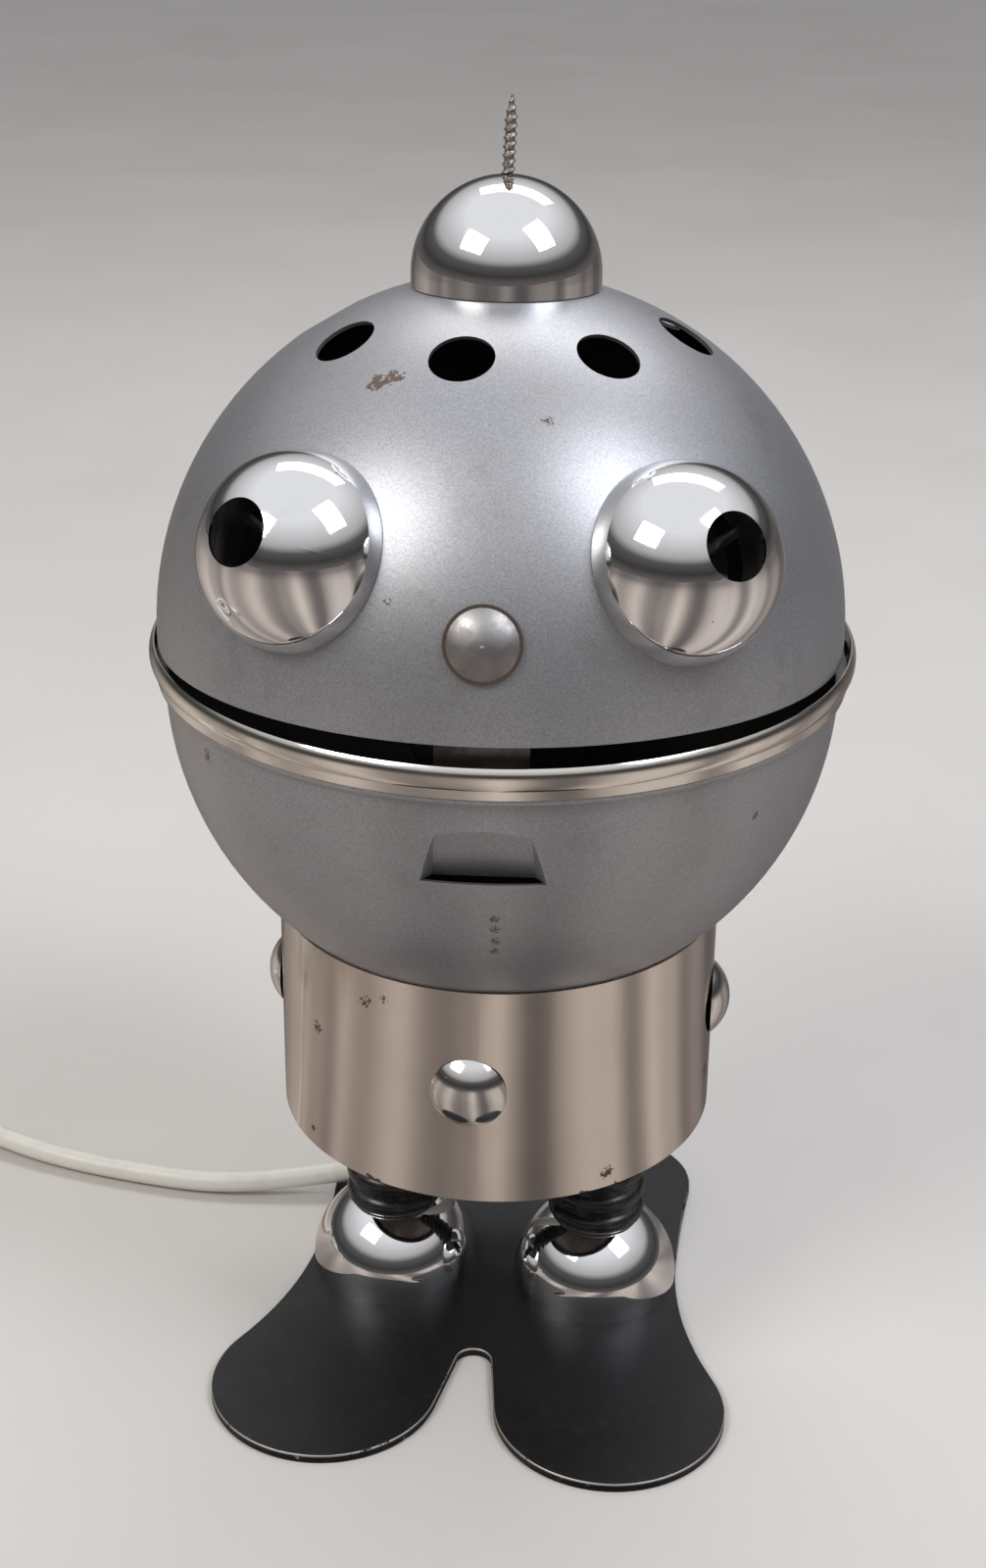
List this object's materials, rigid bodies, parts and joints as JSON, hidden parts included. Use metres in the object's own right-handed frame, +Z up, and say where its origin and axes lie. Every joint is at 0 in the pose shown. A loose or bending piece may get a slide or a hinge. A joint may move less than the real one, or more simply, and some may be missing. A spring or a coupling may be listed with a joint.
{
  "type": "robot shaped desk lamp",
  "caption": "Table lamp shaped as a little robot: a ball head whose upper half tilts open, on a drum body with ringed legs and flat feet.",
  "frame": {"origin": "on the table, under the middle of the drum body and of both legs", "axes": "+Z up; the feet's toes and the drum's front button point to -Y; the head is turned 4.3 degrees about Z on its nut"},
  "size_m": [0.3882, 0.1789, 0.2851],
  "materials": {
    "black_paint": "satin",
    "chrome": "polished",
    "leg_black": "gloss",
    "steel": "satin",
    "pan_steel": "satin",
    "satin_nickel": "satin",
    "silver_paint": "satin metallic",
    "bright_nickel": "polished",
    "brass": "satin",
    "holder_black": "gloss",
    "cap_metal": "satin",
    "glass": "clear",
    "cord_cream": "satin",
    "switch_cream": "satin",
    "pin_brass": "polished",
    "nose_grey": "gloss",
    "nose_seat_dark": "worn",
    "zinc_screw": "rusty"
  },
  "bodies": {
    "stand": {"ankle_cap_left": "chrome", "ankle_cap_right": "chrome", "base_plate": "black_paint", "body_button_back": "chrome", "body_button_front": "chrome", "body_button_left": "chrome", "body_button_right": "chrome", "body_pan": "pan_steel", "body_sleeve": "satin_nickel", "bulb_cap": "cap_metal", "bulb_glass": "glass", "button_clips": "steel", "centre_tube": "brass", "cord_bush": "cord_cream", "cord_coil": "cord_cream", "cord_free": "cord_cream", "cord_lead": "cord_cream", "cord_tail": "cord_cream", "hinge_leaf_lower": "steel", "hinge_pin": "steel", "hinge_rivets_lower": "steel", "holder_base": "holder_black", "holder_body": "holder_black", "holder_contact": "brass", "holder_socket": "brass", "leg_bolt_left": "steel", "leg_bolt_right": "steel", "leg_left": "leg_black", "leg_nuts": "steel", "leg_right": "leg_black", "leg_washers": "steel", "lower_bowl": "silver_paint", "plug_body": "switch_cream", "plug_pins": "pin_brass", "switch_base": "switch_cream", "switch_cover": "switch_cream", "trim_ring": "bright_nickel", "tube_nuts": "brass", "tube_washers": "steel"},
    "lid": {"lid_shell": "silver_paint", "hinge_leaf_upper": "steel", "hinge_rivets_upper": "steel", "eye_cap_left": "chrome", "eye_cap_right": "chrome", "eye_collar_left": "pan_steel", "eye_collar_right": "pan_steel", "eye_retainer_left": "steel", "eye_retainer_right": "steel", "nose_button": "nose_grey", "nose_seat": "nose_seat_dark", "nose_clip": "steel", "latch_tongue": "steel", "crown_cap": "chrome", "antenna_screw": "zinc_screw", "screw_washer": "steel"},
    "rocker": {"switch_rocker": "switch_cream"}
  },
  "joints": [
    {"name": "lid_tilt", "type": "hinge", "parent": "stand", "child": "lid", "pos_m": [-0.00598, 0.07958, 0.1752], "axis": [-0.9972, -0.075, 0], "range_deg": [-3.9, 80]},
    {"name": "switch_rock", "type": "hinge", "parent": "stand", "child": "rocker", "pos_m": [-0.22893, 0.0485, 0.0148], "axis": [-0.0748, -0.9972, 0], "range_deg": [-14, 0]}
  ]
}
